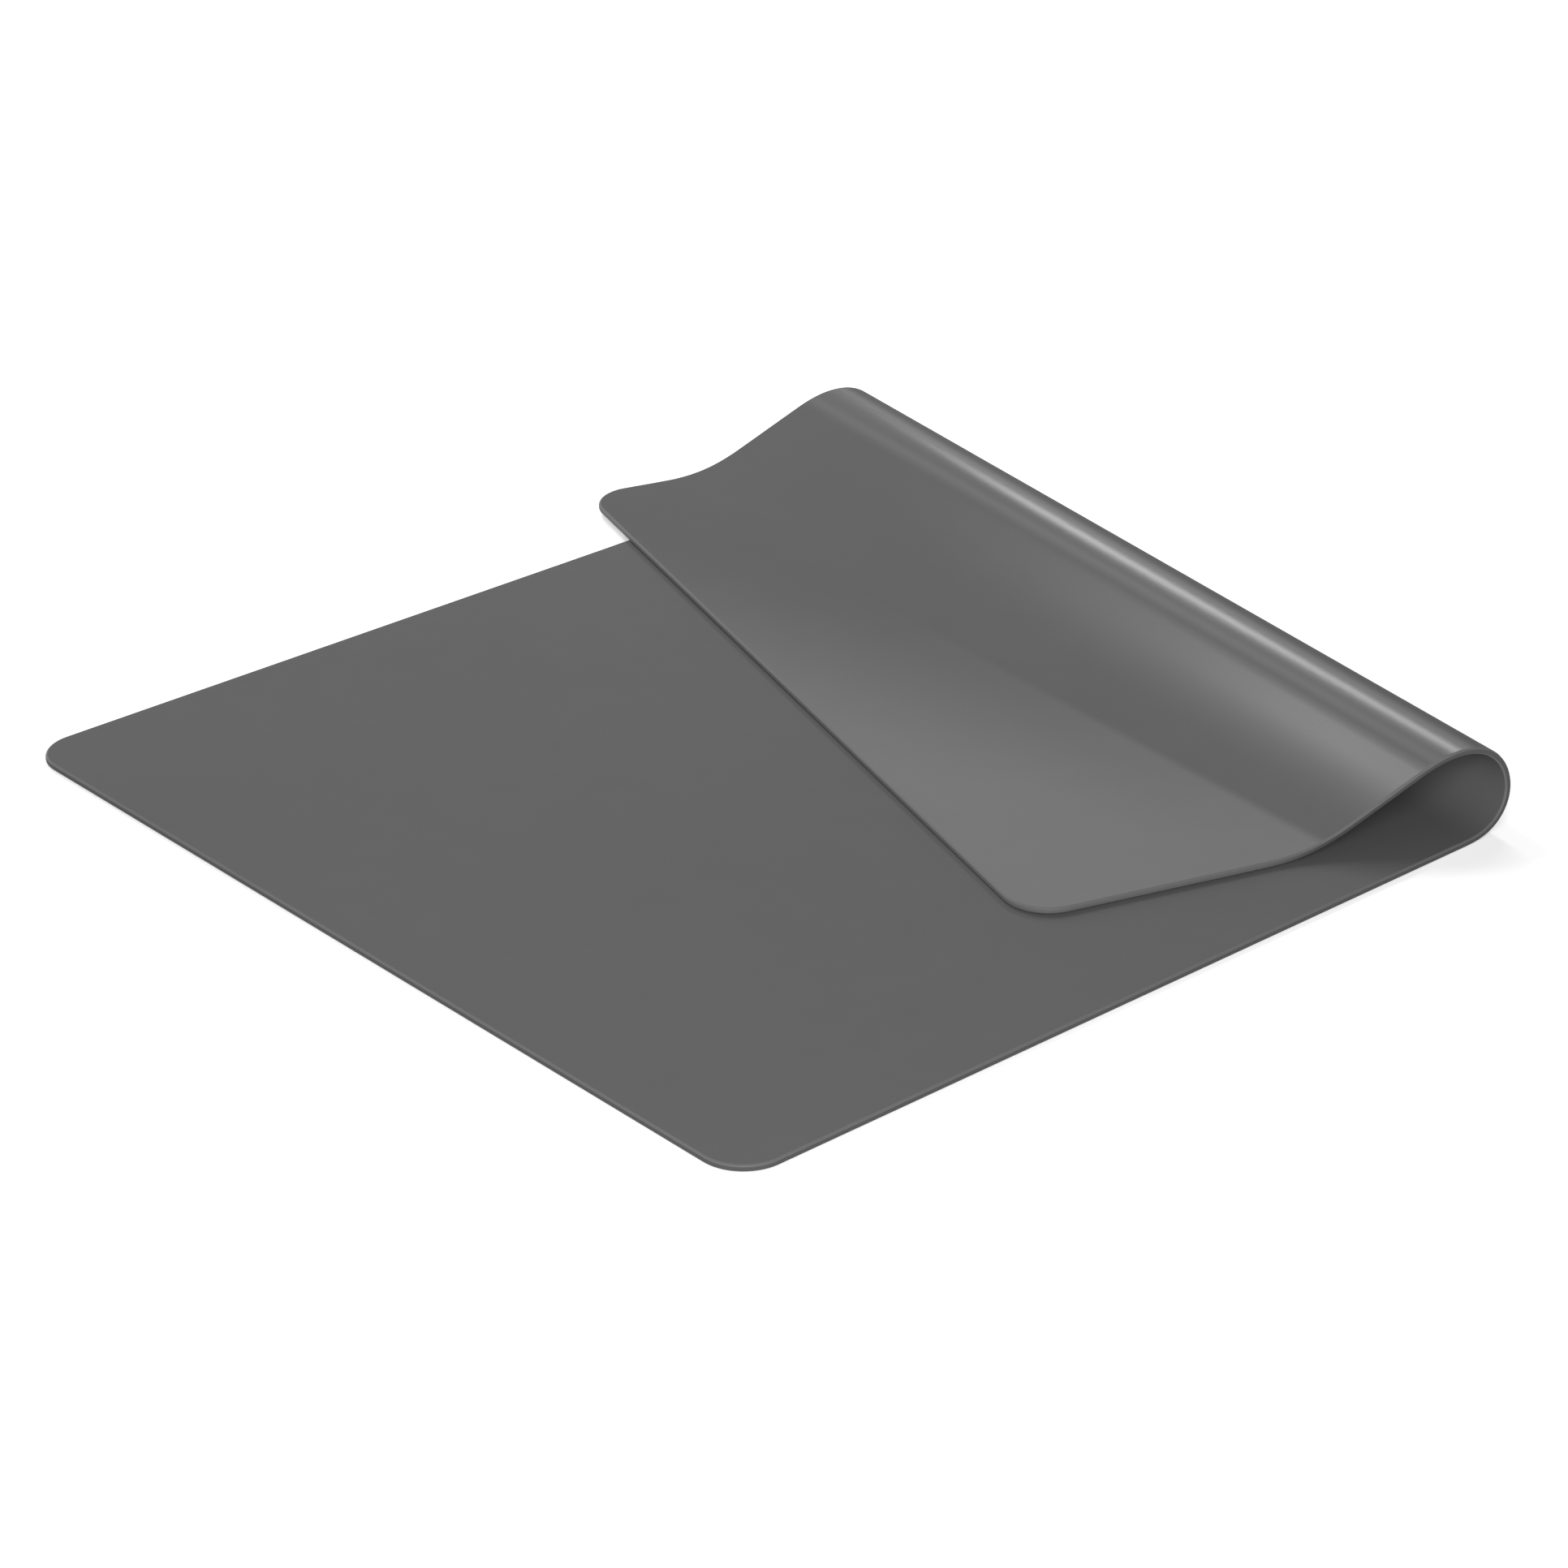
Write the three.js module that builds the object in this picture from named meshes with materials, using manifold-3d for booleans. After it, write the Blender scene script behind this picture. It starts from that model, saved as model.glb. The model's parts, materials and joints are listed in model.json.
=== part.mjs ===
// A plain silicone counter mat, lying on a counter with one end folded back over itself.
// Millimetres, +Z up. The origin is the centre of the unfolded mat on the counter, +X runs along the mat and
// +Y across it.
// The mat is one flexible sheet. Here its bent stretch is divided into strips along lines parallel to the
// fold, and each zone hangs on the zone before it by a hinge group at half the sheet's thickness. With every
// hinge turned to zero the mat lies flat.

import * as THREE from "three";
import { mergeVertices } from "three/addons/utils/BufferGeometryUtils.js";
import Module from "manifold-3d";

const { degToRad, clamp } = THREE.MathUtils;

// The sheet as it is moulded
const LENGTH = 580;
const WIDTH = 400;
const THICKNESS = 2.5;
const CORNER_RADIUS = 17;
const RIM_RADIUS = 0.9;

// The fold. Its lengths are measured along the sheet, square to the fold.
const FOLD_SKEW = degToRad(8.6); // between the fold and the mat's width
const BEND_START = 80; // from the mat's centre to where the sheet leaves the counter
const HEEL_LENGTH = 60; // the tight turn that rises from the counter
const HEEL_TURN = degToRad(160);
const CROWN_LEAD = 40; // from the start of the heel to the start of the crown, which overlaps it
const CROWN_LENGTH = 40;
const FALL_ANGLE = degToRad(29); // slope of the sheet as it comes down again
const LANDING_LENGTH = 44; // the reverse bend that lays the flap down
const LANDING_GAP = 0.3; // between the flap and the panel it lies on

// How the bent stretch is divided
const LOOP_STRIPS = 16;
const LANDING_STRIPS = 3;
const HINGE_GAP = 0.12; // least gap between neighbouring zones, at the folded sheet's inner face

// Finish and fineness
const SILICONE_COLOUR = 0x646464;
const SILICONE_ROUGHNESS = 0.5;
const CORNER_SEGMENTS = 10;
const RIM_SEGMENTS = 3;

const wasm = await Module();
wasm.setup();

// Share of a bend's turn that is done at a share t of its length: curvature starts and ends at zero.
function eased(t) {
  const x = clamp(t, 0, 1);
  return x * x * (3 - 2 * x);
}

// Direction of the sheet along the loop, from 0 on the counter to half a turn and the fall angle.
function loopTurn(along) {
  const crownTurn = Math.PI + FALL_ANGLE - HEEL_TURN;
  const heel = HEEL_TURN * eased(along / HEEL_LENGTH);
  const crown = crownTurn * eased((along - CROWN_LEAD) / CROWN_LENGTH);
  return heel + crown;
}

// Turn that the landing takes back.
function landingTurn(along) {
  return FALL_ANGLE * eased(along / LANDING_LENGTH);
}

// Place along a bend where it has turned by the given angle.
function whereTurned(turnAt, length, angle) {
  let low = 0;
  let high = length;
  while (high - low > 1e-9 * length) {
    const middle = (low + high) / 2;
    if (turnAt(middle) < angle) low = middle;
    else high = middle;
  }
  return (low + high) / 2;
}

// Divides a bend into strips that turn by equal angles: each has its length and its mean direction.
function equalTurns(turnAt, length, count) {
  const total = turnAt(length);
  const strips = [];
  for (let i = 0; i < count; i++) {
    const from = whereTurned(turnAt, length, (total * i) / count);
    const to = whereTurned(turnAt, length, (total * (i + 1)) / count);
    const mean = (turnAt(from) + 4 * turnAt((from + to) / 2) + turnAt(to)) / 6;
    strips.push({ length: to - from, heading: mean });
  }
  return strips;
}

function rise(strips) {
  return strips.reduce((sum, s) => sum + s.length * Math.sin(s.heading), 0);
}

function numbered(strips, stem) {
  return strips.map((s, i) => ({ ...s, name: `${stem}_${String(i + 1).padStart(2, "0")}` }));
}

// The zones after the counter panel. The straight fall between loop and landing is as long as it takes for
// the flap to come down on the panel.
function bentZones() {
  const loopLength = Math.max(HEEL_LENGTH, CROWN_LEAD + CROWN_LENGTH);
  const loop = equalTurns(loopTurn, loopLength, LOOP_STRIPS);
  const landing = equalTurns(landingTurn, LANDING_LENGTH, LANDING_STRIPS);
  for (const strip of landing) strip.heading = Math.PI + FALL_ANGLE - strip.heading;
  const drop = rise(loop) + rise(landing) - THICKNESS - LANDING_GAP;
  const fall = { name: "fall_strip", length: drop / Math.sin(FALL_ANGLE), heading: Math.PI + FALL_ANGLE };
  const flap = { name: "flap_panel", length: Infinity, heading: Math.PI };
  return [...numbered(loop, "loop_strip"), fall, ...numbered(landing, "landing_strip"), flap];
}

function solid(geometry) {
  geometry.deleteAttribute("normal");
  geometry.deleteAttribute("uv");
  const merged = mergeVertices(geometry);
  const vertProperties = merged.getAttribute("position").array;
  const triVerts = new Uint32Array(merged.index.array);
  return new wasm.Manifold(new wasm.Mesh({ numProp: 3, vertProperties, triVerts }));
}

// The whole flat sheet, turned so that the fold lies along Y, with half its thickness on either side of Z = 0.
function flatSheet() {
  const x = LENGTH / 2;
  const y = WIDTH / 2;
  const r = CORNER_RADIUS;
  const outline = new THREE.Shape();
  outline.absarc(x - r, y - r, r, 0, Math.PI / 2);
  outline.absarc(r - x, y - r, r, Math.PI / 2, Math.PI);
  outline.absarc(r - x, r - y, r, Math.PI, 1.5 * Math.PI);
  outline.absarc(x - r, r - y, r, 1.5 * Math.PI, 2 * Math.PI);
  const wall = THICKNESS - 2 * RIM_RADIUS;
  const sheet = new THREE.ExtrudeGeometry(outline, {
    depth: wall,
    curveSegments: CORNER_SEGMENTS,
    bevelThickness: RIM_RADIUS,
    bevelSize: RIM_RADIUS,
    bevelOffset: -RIM_RADIUS,
    bevelSegments: RIM_SEGMENTS,
  });
  return solid(sheet.translate(0, 0, -wall / 2).rotateZ(FOLD_SKEW));
}

// The part of the sheet between two lines along the fold, with its own hinge line moved to X = 0.
function zoneGeometry(sheet, from, to, hinge) {
  const cutter = new THREE.BoxGeometry(to - from, 2 * (LENGTH + WIDTH), 2 * THICKNESS);
  const zone = sheet.intersect(solid(cutter.translate((from + to) / 2, 0, 0))).getMesh();
  const geometry = new THREE.BufferGeometry();
  geometry.setAttribute("position", new THREE.BufferAttribute(zone.vertProperties, 3));
  geometry.setIndex(new THREE.BufferAttribute(zone.triVerts, 1));
  geometry.translate(-hinge, 0, 0);
  geometry.computeVertexNormals();
  return geometry;
}

function siliconeMesh(name, geometry) {
  const silicone = new THREE.MeshStandardMaterial({
    color: SILICONE_COLOUR,
    roughness: SILICONE_ROUGHNESS,
    metalness: 0,
  });
  const mesh = new THREE.Mesh(geometry, silicone);
  mesh.name = name;
  return mesh;
}

// Half the slit at a hinge: two square edges that turn towards each other keep the hinge gap at their corners.
function halfSlit(turn) {
  const half = Math.abs(turn) / 2;
  return (HINGE_GAP + THICKNESS * Math.sin(half)) / Math.cos(half) / 2;
}

function counterMat() {
  const beyond = LENGTH + WIDTH;
  const sheet = flatSheet();
  const mat = new THREE.Group();
  const lying = new THREE.Group();
  lying.rotation.z = -FOLD_SKEW;
  lying.position.z = THICKNESS / 2;
  mat.add(lying);

  const zones = bentZones();
  let heading = 0;
  let start = BEND_START;
  for (const zone of zones) {
    zone.start = start;
    zone.turn = zone.heading - heading;
    start += zone.length;
    heading = zone.heading;
  }

  const panelEnd = BEND_START - halfSlit(zones[0].turn);
  lying.add(siliconeMesh("counter_panel", zoneGeometry(sheet, -beyond, panelEnd, 0)));

  let carrier = lying;
  let carried = 0;
  zones.forEach((zone, i) => {
    const next = zones[i + 1];
    const hinge = new THREE.Group();
    hinge.name = `hinge_of_${zone.name}`;
    hinge.position.x = zone.start - carried;
    hinge.rotation.y = -zone.turn;
    const from = zone.start + halfSlit(zone.turn);
    const to = next ? next.start - halfSlit(next.turn) : beyond;
    hinge.add(siliconeMesh(zone.name, zoneGeometry(sheet, from, to, zone.start)));
    carrier.add(hinge);
    carrier = hinge;
    carried = zone.start;
  });
  return mat;
}

export default counterMat();
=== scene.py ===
"""A plain silicone counter mat, lying with one end folded back over itself.

The mat is one moulded sheet. It is made flat in a bmesh, cut along lines parallel to the fold and bent along
a smooth profile, so that each piece crosses one bend line of the part. Lengths are in metres and angles in
radians, +Z up; the origin is the centre of the unfolded mat on the counter.
"""

import json
import logging
import math
from collections.abc import Callable
from dataclasses import dataclass, field
from enum import Enum

import bmesh
import bpy
import numpy as np
from mathutils import Matrix, Vector

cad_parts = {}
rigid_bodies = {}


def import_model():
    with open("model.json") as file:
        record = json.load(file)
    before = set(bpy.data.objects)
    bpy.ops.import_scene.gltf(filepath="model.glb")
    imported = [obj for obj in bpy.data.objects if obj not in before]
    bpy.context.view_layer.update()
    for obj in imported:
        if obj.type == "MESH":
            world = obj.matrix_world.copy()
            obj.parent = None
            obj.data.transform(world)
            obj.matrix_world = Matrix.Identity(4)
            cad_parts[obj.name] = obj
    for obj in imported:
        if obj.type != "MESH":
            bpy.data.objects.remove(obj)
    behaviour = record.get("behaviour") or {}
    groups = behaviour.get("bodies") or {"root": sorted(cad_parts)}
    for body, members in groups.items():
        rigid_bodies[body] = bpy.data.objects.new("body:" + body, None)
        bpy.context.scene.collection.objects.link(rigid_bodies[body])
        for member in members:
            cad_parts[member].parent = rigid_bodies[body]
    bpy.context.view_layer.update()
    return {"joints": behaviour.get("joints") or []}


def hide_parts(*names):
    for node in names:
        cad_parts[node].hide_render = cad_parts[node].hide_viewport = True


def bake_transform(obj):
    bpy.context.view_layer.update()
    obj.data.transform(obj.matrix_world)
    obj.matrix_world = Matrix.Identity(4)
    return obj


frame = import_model()

FLAT_UV = "flat_sheet"  # UV map with each point's place on the flat sheet
STEEP = 0.5  # part of a unit normal past which a face looks along that axis
SKIN_CORNERS = 4  # corners of a face of the sheet's skin; the faces that close a piece's ends have more
UPRIGHT_SLACK = 1e-6  # how far short of straight up a normal still counts as straight up

Point = tuple[float, float, float]
Colour = tuple[float, float, float, float]
Ends = tuple[float, float]
Curve = Callable[[np.ndarray], np.ndarray]

log = logging.getLogger("counter_mat")


class Held(Enum):
    """How a stretch of the sheet lies."""

    LAID = "laid"
    FOLDED = "folded"


class Skin(Enum):
    """The surfaces of the sheet, in the order of a piece's materials."""

    TOP = 0
    UNDERSIDE = 1
    RIM = 2
    EDGE = 3


class Socket(Enum):
    """Shader inputs that are set or fed by name."""

    COLOUR = "Base Color"
    ROUGHNESS = "Roughness"
    IOR = "IOR"
    SPECULAR = "Specular IOR Level"
    NORMAL = "Normal"
    GLOW_COLOUR = "Emission Color"
    GLOW = "Emission Strength"


class Combine(Enum):
    """What is done with two values in a material or in the world."""

    ADD = "ADD"
    SUBTRACT = "SUBTRACT"
    MULTIPLY = "MULTIPLY"
    MAXIMUM = "MAXIMUM"


def grey(level: float) -> Colour:
    """An opaque neutral colour."""
    return level, level, level, 1.0


def eased(share: np.ndarray) -> np.ndarray:
    """Share of a bend's turn that is done at a share of its length.

    Args:
        share: Shares of the bend's length; values outside 0 to 1 are clamped.

    Returns:
        The shares of the turn, with no curvature at either end.
    """
    x = np.clip(share, 0.0, 1.0)
    return x * x * (3.0 - 2.0 * x)


def uneased(turned: float) -> float:
    """Share of the length at which a share of an eased turn is done.

    Args:
        turned: Share of the turn; values outside 0 to 1 are clamped.

    Returns:
        The share of the length.
    """
    share = min(max(turned, 0.0), 1.0)
    return 0.5 - math.sin(math.asin(1.0 - 2.0 * share) / 3.0)


def combined(
    tree: bpy.types.NodeTree,
    how: Combine,
    first: bpy.types.NodeSocket,
    second: bpy.types.NodeSocket | float,
) -> bpy.types.NodeSocket:
    """Adds a node that works on two values.

    Args:
        tree: The nodes of a material or of the world.
        how: What is done with the values.
        first: The first value.
        second: The second value, or a number.

    Returns:
        The result.
    """
    node = tree.nodes.new("ShaderNodeMath")
    node.operation = how.value
    tree.links.new(first, node.inputs[0])
    if isinstance(second, float):
        node.inputs[1].default_value = second
    else:
        tree.links.new(second, node.inputs[1])
    return node.outputs["Value"]


@dataclass(frozen=True)
class Sheet:
    """The mat as it is moulded, flat."""

    length: float = 0.580
    width: float = 0.400
    thickness: float = 0.0025
    corner_radius: float = 0.017
    rim_radius: float = 0.0009
    corner_segments: int = 20
    rim_segments: int = 4

    def blank(self, turned: float) -> bmesh.types.BMesh:
        """Makes the whole flat sheet, its middle at half its thickness.

        Args:
            turned: Angle by which the sheet is turned about Z, so that the fold lies along Y.

        Returns:
            A closed mesh with rounded corners and rims, which the caller frees.
        """
        bm = bmesh.new()
        bmesh.ops.create_cube(bm, size=1.0)
        bmesh.ops.scale(bm, vec=(self.length, self.width, self.thickness), verts=bm.verts)
        self.rounded(bm, True, self.corner_radius, self.corner_segments)
        self.rounded(bm, False, self.rim_radius, self.rim_segments)
        bmesh.ops.rotate(bm, cent=(0, 0, 0), matrix=Matrix.Rotation(turned, 3, "Z"), verts=bm.verts)
        return bm

    def rounded(self, bm: bmesh.types.BMesh, upright: bool, radius: float, segments: int) -> None:
        """Rounds the sheet's upright edges, or those round its two faces.

        Args:
            bm: The flat sheet.
            upright: Whether the edges through the thickness are rounded.
            radius: The radius.
            segments: Steps in the round.
        """
        half = self.thickness / 2
        edges = [e for e in bm.edges if (abs(e.verts[0].co.z - e.verts[1].co.z) > half) == upright]
        bmesh.ops.bevel(
            bm,
            geom=edges,
            offset=radius,
            affect="EDGES",
            segments=segments,
            profile=0.5,
            material=-1,
        )

    def facing(self, x: float, y: float, z: float) -> Point:
        """Direction that the flat sheet's skin faces at a point on it.

        Args:
            x: Along the mat from its centre.
            y: Across the mat from its centre.
            z: Above half the thickness.

        Returns:
            A unit vector.
        """
        above_wall = abs(z) - self.thickness / 2 + self.rim_radius
        upright = min(1.0, max(0.0, above_wall / self.rim_radius))
        past_x = max(0.0, abs(x) - self.length / 2 + self.corner_radius)
        past_y = max(0.0, abs(y) - self.width / 2 + self.corner_radius)
        reach = math.hypot(past_x, past_y)
        if upright > 1.0 - UPRIGHT_SLACK or reach == 0.0:
            return 0.0, 0.0, math.copysign(1.0, z)
        level = math.sqrt(1.0 - upright * upright) / reach
        return (
            math.copysign(past_x * level, x),
            math.copysign(past_y * level, y),
            math.copysign(upright, z),
        )


@dataclass(eq=False)
class Fold:
    """The smooth profile of the folded end, square to the fold."""

    sheet: Sheet
    skew: float = math.radians(8.6)
    bend_start: float = 0.080
    heel_length: float = 0.060
    heel_turn: float = math.radians(160)
    crown_lead: float = 0.040
    crown_length: float = 0.040
    fall_angle: float = math.radians(29)
    landing_length: float = 0.044
    landing_gap: float = 0.0003
    fall_settle: float = -0.0000627
    step: float = 0.00002
    loop_length: float = field(init=False)
    fall_length: float = field(init=False)
    stations: np.ndarray = field(init=False, repr=False)
    headings: np.ndarray = field(init=False, repr=False)
    across: np.ndarray = field(init=False, repr=False)
    heights: np.ndarray = field(init=False, repr=False)

    def __post_init__(self) -> None:
        """Solves the straight fall, so that the flap comes down on the panel, and traces the profile.

        The fall is moved by a hair, on to the part's own fall strip.
        """
        self.loop_length = max(self.heel_length, self.crown_lead + self.crown_length)
        drop = self.rise(self.loop_turn, self.loop_length)
        drop += self.rise(self.landing_heading, self.landing_length)
        drop -= self.sheet.thickness + self.landing_gap
        self.fall_length = drop / math.sin(self.fall_angle)

        end = self.loop_length + self.fall_length + self.landing_length
        self.stations = np.linspace(0.0, end, round(end / self.step) + 1)
        self.headings = self.heading(self.stations)
        ahead, upward = np.cos(self.headings), np.sin(self.headings)
        settled = self.fall_settle * eased(self.stations / self.loop_length)
        settled = settled * eased((end - self.stations) / self.landing_length)
        start_height = self.sheet.thickness / 2
        self.across = self.bend_start + self.summed(ahead, self.stations) - settled * upward
        self.heights = start_height + self.summed(upward, self.stations) + settled * ahead

    @staticmethod
    def summed(values: np.ndarray, stations: np.ndarray) -> np.ndarray:
        """Running integral of values over stations, from zero."""
        middles = (values[1:] + values[:-1]) / 2 * np.diff(stations)
        return np.concatenate([[0.0], np.cumsum(middles)])

    def rise(self, heading_at: Curve, length: float) -> float:
        """Height that a bend gains.

        Args:
            heading_at: The bend's heading at stations along it.
            length: The bend's length.

        Returns:
            The height, negative where it falls.
        """
        stations = np.linspace(0.0, length, round(length / self.step) + 1)
        return float(self.summed(np.sin(heading_at(stations)), stations)[-1])

    def loop_turn(self, stations: np.ndarray) -> np.ndarray:
        """Heading along the loop, where the heel rises and the crown, which overlaps it, tips over.

        Args:
            stations: Lengths along the sheet from the start of the bend.

        Returns:
            Angles above the counter.
        """
        crown_turn = math.pi + self.fall_angle - self.heel_turn
        heel = self.heel_turn * eased(stations / self.heel_length)
        return heel + crown_turn * eased((stations - self.crown_lead) / self.crown_length)

    def landing_heading(self, stations: np.ndarray) -> np.ndarray:
        """Heading along the landing, which lays the flap down."""
        return math.pi + self.fall_angle * (1.0 - eased(stations / self.landing_length))

    def heading(self, stations: np.ndarray) -> np.ndarray:
        """Heading of the sheet at stations from the start of the bend."""
        landing = stations - self.loop_length - self.fall_length
        return np.where(landing > 0.0, self.landing_heading(landing), self.loop_turn(stations))

    def at(self, station: float) -> Point:
        """Place of the sheet's middle and its heading at a station, before and after the bend too.

        Args:
            station: Length along the sheet from the start of the bend.

        Returns:
            Distance across from the mat's centre, height and heading.
        """
        inside = min(max(station, 0.0), float(self.stations[-1]))
        heading = float(np.interp(inside, self.stations, self.headings))
        over = station - inside
        across = float(np.interp(inside, self.stations, self.across)) + over * math.cos(heading)
        height = float(np.interp(inside, self.stations, self.heights)) + over * math.sin(heading)
        return across, height, heading

    @property
    def square(self) -> Vector:
        """Level direction square to the fold."""
        return Vector((math.cos(self.skew), -math.sin(self.skew), 0.0))

    @property
    def axis(self) -> Vector:
        """Direction of the fold."""
        return Vector((math.sin(self.skew), math.cos(self.skew), 0.0))

    def placed(self, across: float, along: float, height: float) -> Vector:
        """A point or direction of the profile's plane, in the part's frame."""
        return self.square * across + self.axis * along + Vector((0.0, 0.0, height))


@dataclass(frozen=True)
class BendLine:
    """One bend line of the part, seen in the profile's plane."""

    before: str
    after: str
    across: float
    height: float
    along_sheet: float
    heading: float
    turn: float

    def level(self, across: float, height: float) -> tuple[float, float]:
        """Turns a point so that the zone before the line runs along +X.

        Args:
            across: Distance of the point across from the mat's centre.
            height: Its height.

        Returns:
            The point's place from the bend line, along that zone and square to it.
        """
        x, z = across - self.across, height - self.height
        c, s = math.cos(self.heading), math.sin(self.heading)
        return x * c + z * s, z * c - x * s


def bend_lines(fold: Fold) -> list[BendLine]:
    """Reads the part's bend lines, in order from the counter panel.

    Args:
        fold: The fold that they divide.

    Returns:
        The lines, with their places, the length of sheet before each and their turns.
    """
    zones = {joint["parent"]: joint for joint in frame["joints"]}
    chain = [zones["counter_panel"]]
    while chain[-1]["child"] in zones:
        chain.append(zones[chain[-1]["child"]])
    places = [Vector(joint["pos_m"]) for joint in chain]
    across = np.array([place.dot(fold.square) for place in places])
    heights = np.array([place.z for place in places])
    alongs = np.concatenate([[0.0], np.cumsum(np.hypot(np.diff(across), np.diff(heights)))])
    headings = np.unwrap([0.0, *np.arctan2(np.diff(heights), np.diff(across)), math.pi])
    return [
        BendLine(joint["parent"], joint["child"], *(float(value) for value in values))
        for joint, *values in zip(chain, across, heights, alongs, headings, np.diff(headings))
    ]


@dataclass(frozen=True)
class Seam:
    """The line where two pieces of the sheet meet, half way between two bend lines."""

    station: float
    lean_before: float = 0.0
    lean_after: float = 0.0


@dataclass(frozen=True)
class Silicone:
    """Dark grey moulded silicone, whose pattern follows the flat sheet."""

    name: str
    matt: float = 0.84
    haze: float = 0.04
    specular: float = 0.2
    dark: Colour = grey(0.097)
    light: Colour = grey(0.105)
    ior: float = 1.43
    cloud_scale: float = 9.0
    cloud_detail: float = 3.0
    haze_scale: float = 60.0
    haze_detail: float = 4.0
    grain_scale: float = 1500.0
    grain_detail: float = 2.0
    grain_depth: float = 0.00002
    grain_strength: float = 0.12

    def material(self) -> bpy.types.Material:
        """Makes the finish: its tone and haze are clouded, and its skin has a fine grain.

        Returns:
            The material.
        """
        made = bpy.data.materials.new(self.name)
        made.use_nodes = True
        tree = made.node_tree
        shader = tree.nodes["Principled BSDF"]
        shader.inputs[Socket.IOR.value].default_value = self.ior
        shader.inputs[Socket.SPECULAR.value].default_value = self.specular
        flat = tree.nodes.new("ShaderNodeUVMap")
        flat.uv_map = FLAT_UV

        tone = tree.nodes.new("ShaderNodeMix")
        tone.data_type = "RGBA"
        tone.inputs["A"].default_value = self.dark
        tone.inputs["B"].default_value = self.light
        clouds = self.noise(tree, flat, self.cloud_scale, self.cloud_detail)
        tree.links.new(clouds, tone.inputs["Factor"])
        colour = self.toned(tree, flat, tone.outputs["Result"])
        tree.links.new(colour, shader.inputs[Socket.COLOUR.value])

        haze = tree.nodes.new("ShaderNodeMapRange")
        haze.inputs["To Min"].default_value = -self.haze
        haze.inputs["To Max"].default_value = self.haze
        spots = self.noise(tree, flat, self.haze_scale, self.haze_detail)
        tree.links.new(spots, haze.inputs["Value"])
        rough = combined(tree, Combine.ADD, haze.outputs["Result"], self.matt)
        rough = self.polished(tree, flat, rough)
        tree.links.new(rough, shader.inputs[Socket.ROUGHNESS.value])

        bump = tree.nodes.new("ShaderNodeBump")
        bump.inputs["Strength"].default_value = self.grain_strength
        bump.inputs["Distance"].default_value = self.grain_depth
        grain = self.noise(tree, flat, self.grain_scale, self.grain_detail)
        tree.links.new(grain, bump.inputs["Height"])
        tree.links.new(bump.outputs["Normal"], shader.inputs[Socket.NORMAL.value])
        return made

    def toned(
        self, tree: bpy.types.NodeTree, flat: bpy.types.Node, tone: bpy.types.NodeSocket
    ) -> bpy.types.NodeSocket:
        """Colour of the skin where parts of it are paler: here it is the same all over."""
        return tone

    def polished(
        self, tree: bpy.types.NodeTree, flat: bpy.types.Node, rough: bpy.types.NodeSocket
    ) -> bpy.types.NodeSocket:
        """Roughness of the skin where parts of it are glossier: here it is the same all over."""
        return rough

    @staticmethod
    def paler(
        tree: bpy.types.NodeTree, tone: bpy.types.NodeSocket, pale: Colour, share: bpy.types.NodeSocket
    ) -> bpy.types.NodeSocket:
        """Adds a paler tone to part of the skin.

        Args:
            tree: The material's nodes.
            tone: Colour of the clean skin.
            pale: The paler colour.
            share: How much of it shows, from 0 to 1.

        Returns:
            The colour.
        """
        mixed = tree.nodes.new("ShaderNodeMix")
        mixed.data_type = "RGBA"
        mixed.inputs["B"].default_value = pale
        tree.links.new(share, mixed.inputs["Factor"])
        tree.links.new(tone, mixed.inputs["A"])
        return mixed.outputs["Result"]

    @staticmethod
    def ramp(tree: bpy.types.NodeTree, value: bpy.types.NodeSocket, ends: Ends) -> bpy.types.NodeSocket:
        """Adds an eased ramp from 0 to 1.

        Args:
            tree: The material's nodes.
            value: The value that runs along the ramp.
            ends: Values at which the ramp is 0 and 1.

        Returns:
            The share of the ramp.
        """
        node = tree.nodes.new("ShaderNodeMapRange")
        node.interpolation_type = "SMOOTHSTEP"
        rising = ends[0] < ends[1]
        node.inputs["From Min"].default_value = min(ends)
        node.inputs["From Max"].default_value = max(ends)
        node.inputs["To Min"].default_value = 0.0 if rising else 1.0
        node.inputs["To Max"].default_value = 1.0 if rising else 0.0
        tree.links.new(value, node.inputs["Value"])
        return node.outputs["Result"]

    @staticmethod
    def noise(
        tree: bpy.types.NodeTree, flat: bpy.types.Node, scale: float, detail: float
    ) -> bpy.types.NodeSocket:
        """Adds a noise on the flat sheet.

        Args:
            tree: The material's nodes.
            flat: The node that gives the flat sheet's coordinates, in metres.
            scale: Spots per metre.
            detail: Finer layers.

        Returns:
            The noise, from 0 to 1.
        """
        node = tree.nodes.new("ShaderNodeTexNoise")
        node.inputs["Scale"].default_value = scale
        node.inputs["Detail"].default_value = detail
        tree.links.new(flat.outputs["UV"], node.inputs["Vector"])
        return node.outputs["Fac"]


@dataclass(frozen=True)
class CutSilicone(Silicone):
    """The cut edge's finish: dark as painted shade on the side walls, with painted light that makes it paler
    round the end of the mat that is lifted and folded.
    """

    # painted light: a paler tone over the folded end's edge, which lightens the shade line along the flap's
    # edge
    lifted_end_painted_light: Colour = grey(0.115)
    painted_light_reach: Ends = (0.165, 0.200)

    def toned(
        self, tree: bpy.types.NodeTree, flat: bpy.types.Node, tone: bpy.types.NodeSocket
    ) -> bpy.types.NodeSocket:
        """Colour of the edge, with painted light that makes it paler round the folded end.

        Args:
            tree: The material's nodes.
            flat: The node that gives the flat sheet's coordinates, in metres.
            tone: Colour of the edge without the painted light.

        Returns:
            The colour.
        """
        apart = tree.nodes.new("ShaderNodeSeparateXYZ")
        tree.links.new(flat.outputs["UV"], apart.inputs["Vector"])
        return self.paler(tree, tone, self.lifted_end_painted_light, self.ramp(tree, apart.outputs["X"], self.painted_light_reach))


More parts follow.
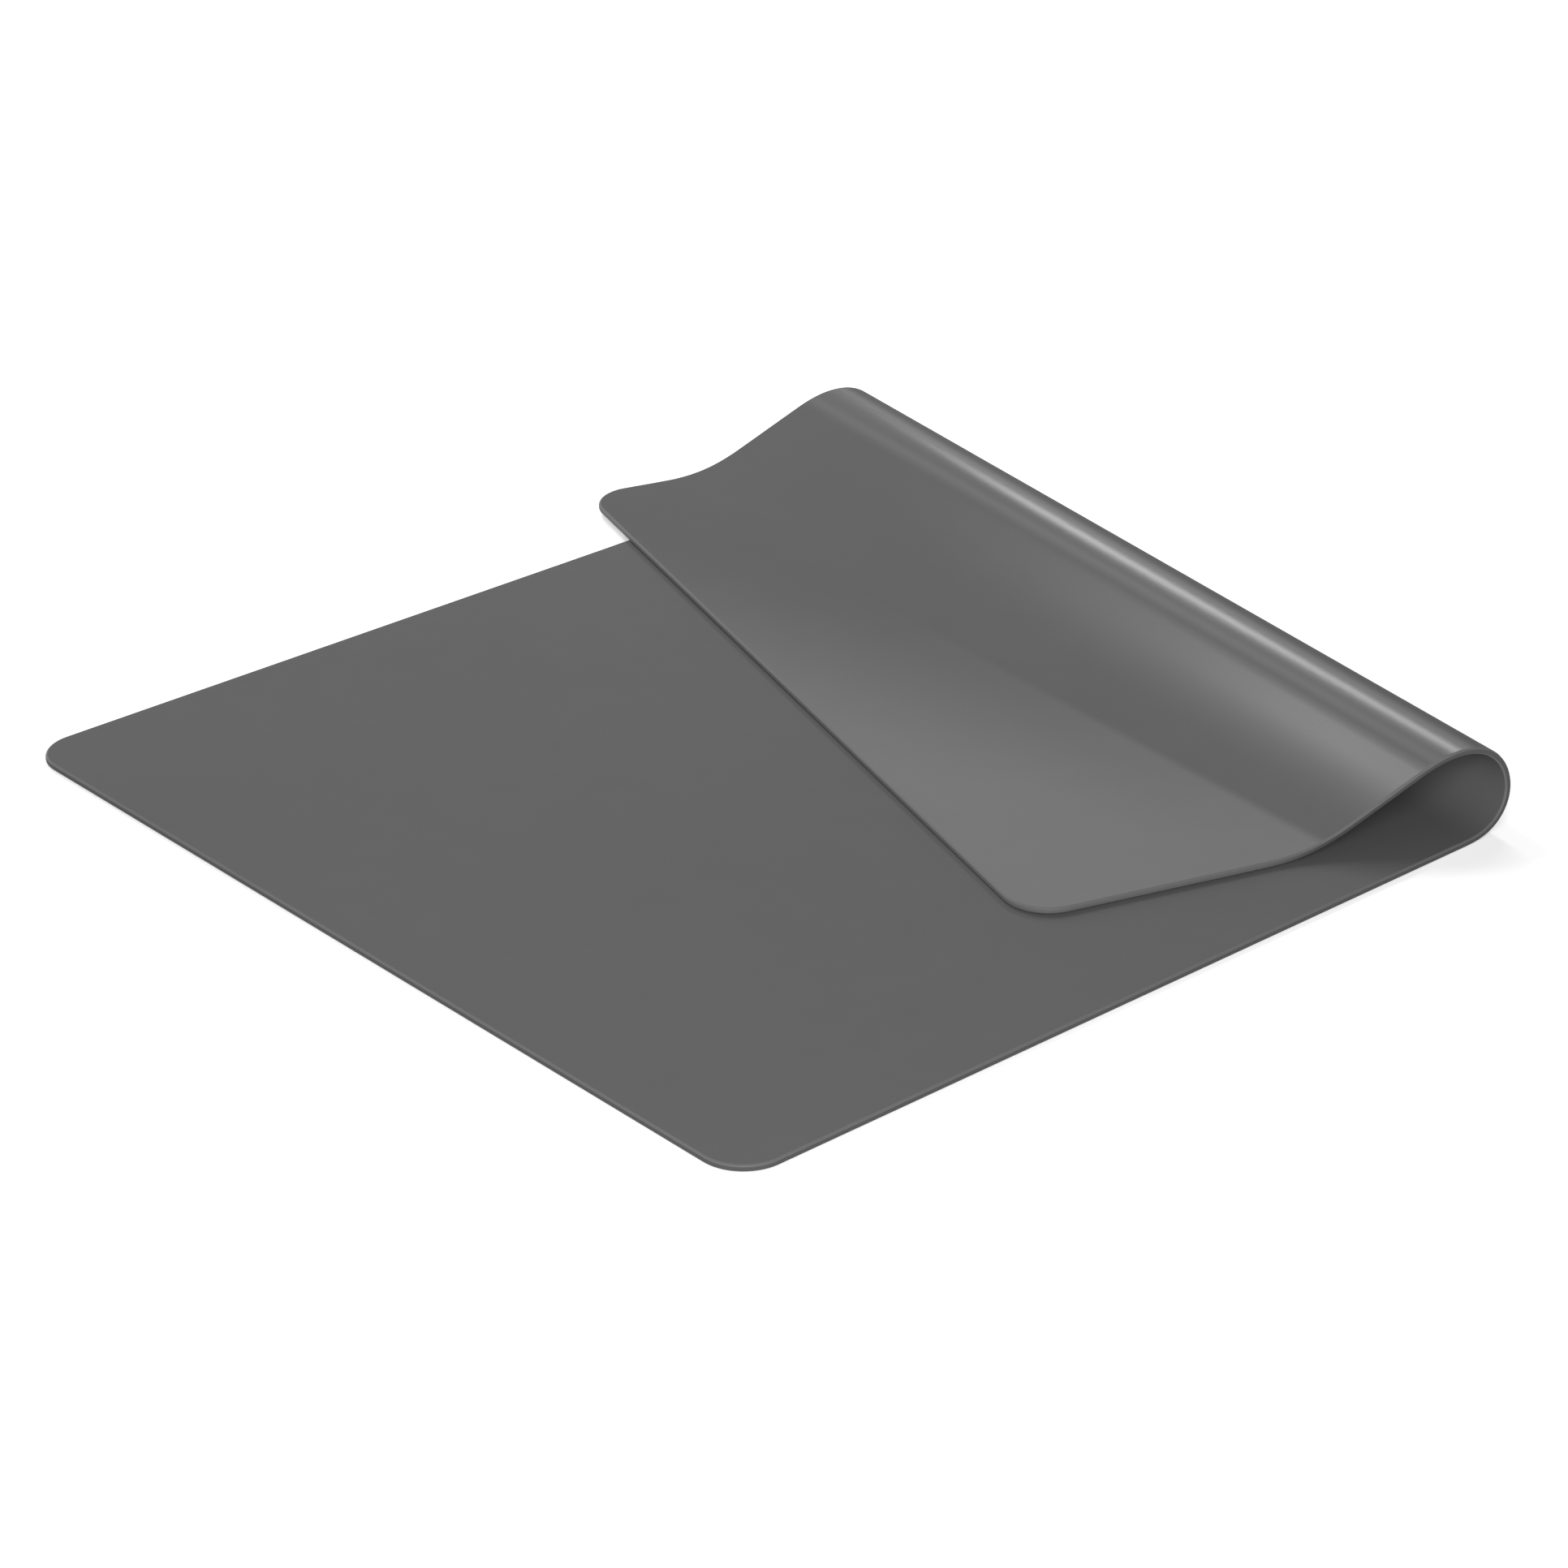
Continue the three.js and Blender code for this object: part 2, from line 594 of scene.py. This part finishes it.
@dataclass(frozen=True)
class DrawnSilicone(Silicone):
    """The underside's finish: glossy where the crown draws it tight, and satin with a painted sheen, a paler
    tone, at the flap's near corner.

    Places are stations along the sheet from the start of the bend, and distances along the fold.
    """

    fold: Fold = field(kw_only=True)
    tight: float = 0.24
    ridge_rise: Ends = (0.052, 0.060)
    ridge_fade: Ends = (0.076, 0.066)
    band_rise: Ends = (0.070, 0.078)
    band_fade: Ends = (0.112, 0.082)
    band_ends: Ends = (0.20, -0.18)
    # painted sheen: a paler tone at the flap's near corner that stands in for part of its sheen
    painted_sheen_tone: Colour = grey(0.124)
    satin: float = 0.42
    sheen_and_satin_rise: Ends = (0.1275, 0.1325)
    sheen_and_satin_skew: float = 0.06
    sheen_and_satin_slant: float = 2.0
    sheen_and_satin_reach: Ends = (0.14, 0.48)

    def spread(
        self, tree: bpy.types.NodeTree, flat: bpy.types.Node
    ) -> tuple[bpy.types.NodeSocket, bpy.types.NodeSocket]:
        """Adds the place of a point of the flat sheet in the fold.

        Args:
            tree: The material's nodes.
            flat: The node that gives the flat sheet's coordinates, in metres.

        Returns:
            The station, and the distance along the fold.
        """
        turned = tree.nodes.new("ShaderNodeMapping")
        turned.inputs["Rotation"].default_value = (0.0, 0.0, self.fold.skew)
        turned.inputs["Location"].default_value = (-self.fold.bend_start, 0.0, 0.0)
        tree.links.new(flat.outputs["UV"], turned.inputs["Vector"])
        apart = tree.nodes.new("ShaderNodeSeparateXYZ")
        tree.links.new(turned.outputs["Vector"], apart.inputs["Vector"])
        return apart.outputs["X"], apart.outputs["Y"]

    def corner(self, tree: bpy.types.NodeTree, flat: bpy.types.Node) -> bpy.types.NodeSocket:
        """Adds the flap's near corner, where the skin is satin and has a painted sheen.

        Args:
            tree: The material's nodes.
            flat: The node that gives the flat sheet's coordinates, in metres.

        Returns:
            A share, which fades away from the corner and ends where the flap leaves the panel.
        """
        station, along = self.spread(tree, flat)
        reach = combined(tree, Combine.MULTIPLY, station, self.sheen_and_satin_slant)
        reach = combined(tree, Combine.SUBTRACT, reach, along)
        share = self.ramp(tree, reach, self.sheen_and_satin_reach)
        past = combined(tree, Combine.MULTIPLY, along, self.sheen_and_satin_skew)
        past = combined(tree, Combine.SUBTRACT, station, past)
        return combined(tree, Combine.MULTIPLY, share, self.ramp(tree, past, self.sheen_and_satin_rise))

    def toned(
        self, tree: bpy.types.NodeTree, flat: bpy.types.Node, tone: bpy.types.NodeSocket
    ) -> bpy.types.NodeSocket:
        """Colour of the skin, with a painted sheen that makes it paler at the flap's near corner."""
        return self.paler(tree, tone, self.painted_sheen_tone, self.corner(tree, flat))

    def polished(
        self, tree: bpy.types.NodeTree, flat: bpy.types.Node, rough: bpy.types.NodeSocket
    ) -> bpy.types.NodeSocket:
        """Roughness of the skin where parts of it are glossier.

        Args:
            tree: The material's nodes.
            flat: The node that gives the flat sheet's coordinates, in metres.
            rough: Roughness of the matt skin.

        Returns:
            The roughness.
        """
        station, along = self.spread(tree, flat)
        ridge = self.ramp(tree, station, self.ridge_rise)
        ridge = combined(tree, Combine.MULTIPLY, ridge, self.ramp(tree, station, self.ridge_fade))
        band = self.ramp(tree, station, self.band_rise)
        band = combined(tree, Combine.MULTIPLY, band, self.ramp(tree, station, self.band_fade))
        band = combined(tree, Combine.MULTIPLY, band, self.ramp(tree, along, self.band_ends))
        satin = combined(tree, Combine.MULTIPLY, self.corner(tree, flat), self.satin)
        gloss = combined(tree, Combine.MAXIMUM, combined(tree, Combine.MAXIMUM, ridge, band), satin)

        mixed = tree.nodes.new("ShaderNodeMix")
        mixed.inputs["B"].default_value = self.tight
        tree.links.new(gloss, mixed.inputs["Factor"])
        tree.links.new(rough, mixed.inputs["A"])
        return mixed.outputs["Result"]


@dataclass
class MatPiece:
    """A stretch of the sheet that crosses one bend line."""

    name: str
    fold: Fold
    line: BendLine
    start: Seam | None
    end: Seam | None
    row_turn: float = math.radians(1.5)
    fewest_rows: int = 2
    samples: int = 400
    edge_rise: float = 0.35
    rim_rise: float = 0.99
    flat_area: float = 0.0
    flat_length: float = 0.0

    def rows(self) -> list[float]:
        """Divides the piece by equal turns, so that it bends smoothly.

        Returns:
            Stations, with the ends of the bend where the piece runs past them.
        """
        first = self.start.station if self.start else 0.0
        last = self.end.station if self.end else float(self.fold.stations[-1])
        inner = np.linspace(first, last, self.samples)
        turned = np.concatenate([[0.0], np.cumsum(np.abs(np.diff(self.fold.heading(inner))))])
        count = max(self.fewest_rows, math.ceil(turned[-1] / self.row_turn))
        even = [float(np.interp(turned[-1] * i / count, turned, inner)) for i in range(1, count)]
        ends = [] if self.start else [first]
        return ends + even + ([] if self.end else [last])

    def cut(self, bm: bmesh.types.BMesh) -> None:
        """Trims the blank to this stretch, closes its ends and divides it into rows.

        Args:
            bm: The whole flat sheet, which becomes the flat piece.
        """
        bend_start, thickness = self.fold.bend_start, self.fold.sheet.thickness
        trims: list[tuple[float, float, int]] = []
        if self.start:
            trims.append((self.start.station, self.start.lean_after, -1))
        if self.end:
            trims.append((self.end.station, self.end.lean_before, 1))
        for station, lean, side in trims:
            bmesh.ops.bisect_plane(
                bm,
                geom=[*bm.verts, *bm.edges, *bm.faces],
                plane_co=(bend_start + station, 0.0, -thickness / 2),
                plane_no=(thickness, 0.0, -side * lean),
                clear_inner=side < 0,
                clear_outer=side > 0,
            )
        for station in self.rows():
            bmesh.ops.bisect_plane(
                bm,
                geom=[*bm.verts, *bm.edges, *bm.faces],
                plane_co=(bend_start + station, 0.0, 0.0),
                plane_no=(1.0, 0.0, 0.0),
            )
        bmesh.ops.holes_fill(bm, edges=[e for e in bm.edges if e.is_boundary], sides=0)
        bmesh.ops.recalc_face_normals(bm, faces=bm.faces)
        self.put_in_order(bm)

    @staticmethod
    def put_in_order(bm: bmesh.types.BMesh) -> None:
        """Sorts the edges and faces by their points, because the cuts leave them in another order each run.

        Args:
            bm: The flat piece.
        """
        bm.verts.index_update()
        for parts in (bm.edges, bm.faces):
            ranked = sorted(parts, key=lambda part: sorted(vert.index for vert in part.verts))
            ranks = {part: rank for rank, part in enumerate(ranked)}
            parts.sort(key=ranks.get)

    def measure(self, bm: bmesh.types.BMesh) -> None:
        """Notes the flat piece's area and its length along the mat.

        Args:
            bm: The flat piece.
        """
        self.flat_area = sum(f.calc_area() for f in bm.faces if f.normal.z > STEEP)
        turn = Matrix.Rotation(-self.fold.skew, 3, "Z")
        reach = [(turn @ v.co).x for v in bm.verts]
        self.flat_length = max(reach) - min(reach)

    def skin(self, face: bmesh.types.BMFace) -> Skin:
        """Finds the surface of the sheet that a face belongs to.

        Args:
            face: A face of the flat piece.

        Returns:
            The surface.
        """
        rise = abs(face.normal.z)
        if rise < self.edge_rise:
            return Skin.EDGE
        if rise < self.rim_rise:
            return Skin.RIM
        return Skin.TOP if face.normal.z > 0.0 else Skin.UNDERSIDE

    def bend(self, bm: bmesh.types.BMesh) -> list[Vector]:
        """Bends the flat piece along the profile.

        Args:
            bm: The flat piece, which is moved to its place in the part's frame.

        Returns:
            The direction of the skin at each corner of each face, in the order of the faces.
        """
        fold, sheet = self.fold, self.fold.sheet
        flat_uv = bm.loops.layers.uv.new(FLAT_UV)
        turn = Matrix.Rotation(-fold.skew, 3, "Z")
        bm.faces.ensure_lookup_table()
        normals: list[Vector] = []
        for face in bm.faces:
            closes_end = abs(face.normal.x) > STEEP and len(face.verts) > SKIN_CORNERS
            face.smooth = True
            face.material_index = self.skin(face).value
            for loop in face.loops:
                x, _, z = loop.vert.co
                lying = turn @ loop.vert.co
                loop[flat_uv].uv = (lying.x, lying.y)
                if closes_end:
                    facing = face.normal.copy()
                else:
                    facing = turn.inverted() @ Vector(sheet.facing(lying.x, lying.y, z))
                heading = fold.at(x - fold.bend_start)[2]
                c, s = math.cos(heading), math.sin(heading)
                normals.append(
                    fold.placed(facing.x * c - facing.z * s, facing.y, facing.x * s + facing.z * c)
                )
        for vert in bm.verts:
            across, height, heading = fold.at(vert.co.x - fold.bend_start)
            offset = vert.co.z
            vert.co = fold.placed(
                across - offset * math.sin(heading), vert.co.y, height + offset * math.cos(heading)
            )
        return normals

    def build(self, skins: list[bpy.types.Material]) -> bpy.types.Object:
        """Makes the piece, bent to its place, and hides the part's zone that follows its bend line.

        Args:
            skins: The finishes of the sheet's top, its underside, its rims and its cut edge.

        Returns:
            The piece's object.
        """
        bm = self.fold.sheet.blank(self.fold.skew)
        self.cut(bm)
        self.measure(bm)
        normals = self.bend(bm)
        mesh = bpy.data.meshes.new(self.name)
        bm.to_mesh(mesh)
        bm.free()
        mesh.normals_split_custom_set(normals)
        for skin in skins:
            mesh.materials.append(skin)
        made = bpy.data.objects.new(self.name, mesh)
        bpy.context.scene.collection.objects.link(made)
        start, end = self.span()
        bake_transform(made)
        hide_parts(self.line.after)
        return made

    def share_at(self, seam: Seam, behind: bool) -> float:
        """Share of the bend line's turn that lays a seam level with the zone before the line.

        Args:
            seam: The seam at an end of this piece.
            behind: Whether the seam lies before the bend line.

        Returns:
            The share.
        """
        across, height, _ = self.fold.at(seam.station)
        x, z = self.line.level(across, height)
        return (math.atan2(-z, -x) if behind else math.atan2(z, x)) / self.line.turn

    def lean(self, seam: Seam, behind: bool) -> float:
        """Length that the upper skin needs past a seam to meet its neighbour when the mat lies flat.

        Args:
            seam: The seam at an end of this piece.
            behind: Whether the seam lies before the bend line.

        Returns:
            The length, zero where the skins overlap instead.
        """
        turned = self.share_at(seam, behind) * self.line.turn
        left = self.fold.at(seam.station)[2] - self.line.heading - turned
        return max(0.0, self.fold.sheet.thickness / 2 * math.sin(-left if behind else left))

    def past_line(self, seam: Seam, run: Vector) -> float:
        """Distance of a seam past the bend line, along a direction in the profile's plane."""
        across, height, _ = self.fold.at(seam.station)
        return run.dot(Vector((across - self.line.across, height - self.line.height)))

    def span(self) -> tuple[Vector, Vector]:
        """Finds the stretch over which the piece takes up its bend line's turn.

        Returns:
            Its start and its end, in the part's frame.
        """
        line = self.line
        middle = line.heading + line.turn / 2
        run = Vector((math.cos(middle), math.sin(middle)))
        low = high = 0.0
        if self.start is None:
            high = self.past_line(self.end, run) / uneased(self.share_at(self.end, False))
        elif self.end is None:
            low = self.past_line(self.start, run) / (1.0 - uneased(self.share_at(self.start, True)))
        else:
            first, last = self.past_line(self.start, run), self.past_line(self.end, run)
            before = uneased(self.share_at(self.start, True))
            after = uneased(self.share_at(self.end, False))
            reach = (last - first) / (after - before)
            low = first - before * reach
            high = low + reach
        start = self.fold.placed(line.across + run.x * low, 0.0, line.height + run.y * low)
        end = self.fold.placed(line.across + run.x * high, 0.0, line.height + run.y * high)
        return start, end


@dataclass
class CounterMat:
    """The folded mat, as pieces that each cross one bend line."""

    sheet: Sheet = field(default_factory=Sheet)
    top: Silicone = Silicone("matt_grey_silicone")
    # the rims' paler tone is a painted highlight along the top edges
    rim: Silicone = Silicone("rim_grey_silicone_painted_highlight", matt=0.6, dark=grey(0.106), light=grey(0.126))
    # the cut edge's dark tone is painted shade on the side walls
    edge: Silicone = CutSilicone("cut_grey_silicone_painted_shade_and_light", matt=0.7, dark=grey(0.062), light=grey(0.073))
    underside: Silicone = field(init=False)
    fold: Fold = field(init=False)
    pieces: list[MatPiece] = field(default_factory=list)
    objects: list[bpy.types.Object] = field(default_factory=list)

    def __post_init__(self) -> None:
        """Sets the fold for this sheet, and the finish that it gives to the underside."""
        self.fold = Fold(self.sheet)
        # the underside's tone is a little darker than the top's as painted shade, so that its more brightly
        # lit slopes come out at the top's tone
        self.underside = DrawnSilicone(
            "drawn_grey_silicone", dark=grey(0.090), light=grey(0.098), fold=self.fold
        )

    def divide(self) -> None:
        """Divides the sheet into pieces, from the middle of one zone to the middle of the next."""
        lines = bend_lines(self.fold)
        middles = [(a.along_sheet + b.along_sheet) / 2 for a, b in zip(lines, lines[1:])]
        bare: list[Seam | None] = [None, *(Seam(m) for m in middles), None]
        names = ["mat_panel", *(f"mat_{line.after}" for line in lines[1:-1]), "mat_flap"]
        self.pieces = [
            MatPiece(name, self.fold, line, start, end)
            for name, line, start, end in zip(names, lines, bare, bare[1:])
        ]
        for before, after in zip(self.pieces, self.pieces[1:]):
            seam = before.end
            leans = before.lean(seam, False), after.lean(seam, True)
            before.end = after.start = Seam(seam.station, *leans)

    def build(self) -> None:
        """Makes every piece; the first also stands for the zone before its bend line."""
        self.divide()
        skins = [finish.material() for finish in (self.top, self.underside, self.rim, self.edge)]
        self.objects = [piece.build(skins) for piece in self.pieces]
        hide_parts(self.pieces[0].line.before)


@dataclass(frozen=True)
class SoftBox:
    """A rectangular studio lamp that looks at a point."""

    name: str
    place: Point
    aim: Point
    size: tuple[float, float]
    power: float
    along: Point = (1.0, 0.0, 0.0)

    def build(self) -> None:
        """Puts the lamp in the scene, its first side turned as far to its direction as its aim allows."""
        lamp = bpy.data.lights.new(self.name, "AREA")
        lamp.shape = "RECTANGLE"
        lamp.size, lamp.size_y = self.size
        lamp.energy = self.power
        made = bpy.data.objects.new(self.name, lamp)
        made.location = self.place
        made.visible_camera = False
        back = (Vector(self.place) - Vector(self.aim)).normalized()
        side = Vector(self.along) - back * back.dot(Vector(self.along))
        side.normalize()
        made.rotation_euler = Matrix((side, back.cross(side), back)).transposed().to_euler()
        bpy.context.scene.collection.objects.link(made)


@dataclass
class Studio:
    """The white counter, the light and the camera."""

    counter_size: float = 6.0
    counter_drop: float = 0.0002
    counter_colour: Colour = grey(0.9)
    counter_matt: float = 0.9
    white: Colour = grey(1.0)
    counter_glow: Ends = (0.35, 1.0)
    glow_reach: Ends = (0.5, 1.1)
    sky: float = 0.12
    target: Point = (-0.0965, -0.0025, 0.0002)
    azimuth: float = math.radians(41.459)
    elevation: float = math.radians(26.882)
    distance: float = 1.712
    sensor: float = 36.0
    lens: float = 107.8
    lamps: tuple[SoftBox, ...] = (
        SoftBox(
            "front_fill",
            place=(-1.04, -1.10, 0.68),
            aim=(0.0, 0.0, 0.02),
            size=(1.1, 0.8),
            power=27.5,
            along=(0.73, -0.69, 0.0),
        ),
        SoftBox(
            "fold_light",
            place=(0.66, 0.47, 0.68),
            aim=(0.08, -0.05, 0.03),
            size=(0.64, 0.12),
            power=3.2,
            along=(0.0, 0.98, -0.18),
        ),
        SoftBox(
            "slope_light",
            place=(0.02, 0.60, 0.75),
            aim=(0.06, -0.05, 0.025),
            size=(0.4, 0.3),
            power=3.1,
        ),
        SoftBox(
            "low_back",
            place=(-0.4, 2.9, 0.75),
            aim=(0.0, 0.0, 0.0),
            size=(2.6, 1.2),
            power=38.0,
        ),
    )

    def counter(self) -> bpy.types.Object:
        """Makes the white counter, which keeps the mat's shadow.

        Returns:
            The counter's object.
        """
        bm = bmesh.new()
        bmesh.ops.create_grid(bm, x_segments=1, y_segments=1, size=self.counter_size / 2)
        bmesh.ops.translate(bm, vec=(0.0, 0.0, -self.counter_drop), verts=bm.verts)
        mesh = bpy.data.meshes.new("counter")
        bm.to_mesh(mesh)
        bm.free()
        mesh.materials.append(self.counter_finish())
        made = bpy.data.objects.new("counter", mesh)
        bpy.context.scene.collection.objects.link(made)
        return made

    def counter_finish(self) -> bpy.types.Material:
        """Makes the counter's finish, which turns to pure white away from the mat.

        Returns:
            The material.
        """
        material = bpy.data.materials.new("white_counter")
        material.use_nodes = True
        tree = material.node_tree
        shader = tree.nodes["Principled BSDF"]
        shader.inputs[Socket.COLOUR.value].default_value = self.counter_colour
        shader.inputs[Socket.ROUGHNESS.value].default_value = self.counter_matt
        shader.inputs[Socket.SPECULAR.value].default_value = 0.0
        shader.inputs[Socket.GLOW_COLOUR.value].default_value = self.white
        place = tree.nodes.new("ShaderNodeTexCoord")
        away = tree.nodes.new("ShaderNodeVectorMath")
        away.operation = "LENGTH"
        tree.links.new(place.outputs["Object"], away.inputs[0])
        level = tree.nodes.new("ShaderNodeMapRange")
        level.inputs["From Min"].default_value, level.inputs["From Max"].default_value = self.glow_reach
        level.inputs["To Min"].default_value, level.inputs["To Max"].default_value = self.counter_glow
        tree.links.new(away.outputs["Value"], level.inputs["Value"])
        glow = combined(tree, Combine.MULTIPLY, level.outputs["Result"], self.seen(tree))
        tree.links.new(glow, shader.inputs[Socket.GLOW.value])
        return material

    @staticmethod
    def seen(tree: bpy.types.NodeTree) -> bpy.types.NodeSocket:
        """Adds the test for rays that show the background, straight or in a reflection.

        Args:
            tree: The nodes of a material or of the world.

        Returns:
            A socket that is 1 for those rays and 0 for the light.
        """
        path = tree.nodes.new("ShaderNodeLightPath")
        shown = path.outputs["Is Camera Ray"]
        for ray in ("Is Glossy Ray", "Is Transmission Ray"):
            shown = combined(tree, Combine.MAXIMUM, shown, path.outputs[ray])
        return shown

    def light(self) -> None:
        """Sets the white surroundings and the lamps."""
        world = bpy.data.worlds.new("studio")
        world.use_nodes = True
        tree = world.node_tree
        back = tree.nodes["Background"]
        back.inputs["Color"].default_value = self.white
        level = tree.nodes.new("ShaderNodeMapRange")
        level.inputs["To Min"].default_value = self.sky
        level.inputs["To Max"].default_value = 1.0
        tree.links.new(self.seen(tree), level.inputs["Value"])
        tree.links.new(level.outputs["Result"], back.inputs["Strength"])
        bpy.context.scene.world = world
        for lamp in self.lamps:
            lamp.build()

    def camera(self) -> None:
        """Puts the camera at the photograph's view."""
        lens = bpy.data.cameras.new("camera")
        lens.sensor_fit = "HORIZONTAL"
        lens.sensor_width = self.sensor
        lens.lens = self.lens
        level = math.cos(self.elevation)
        forward = Vector(
            (math.sin(self.azimuth) * level, math.cos(self.azimuth) * level, -math.sin(self.elevation))
        )
        made = bpy.data.objects.new("camera", lens)
        made.location = Vector(self.target) - forward * self.distance
        made.rotation_euler = forward.to_track_quat("-Z", "Y").to_euler()
        bpy.context.scene.collection.objects.link(made)
        bpy.context.scene.camera = made


def main() -> None:
    """Builds the studio and the mat, and reports each piece."""
    logging.basicConfig(level=logging.INFO)
    bpy.context.scene.view_settings.view_transform = "Standard"
    studio = Studio()
    studio.camera()
    studio.light()
    counter = studio.counter()
    mat = CounterMat()
    mat.build()
    for made, piece in zip(mat.objects, mat.pieces):
        log.info("%s: %d faces, bends at %s", made.name, len(made.data.polygons), piece.line.after)


if __name__ == "__main__":
    main()
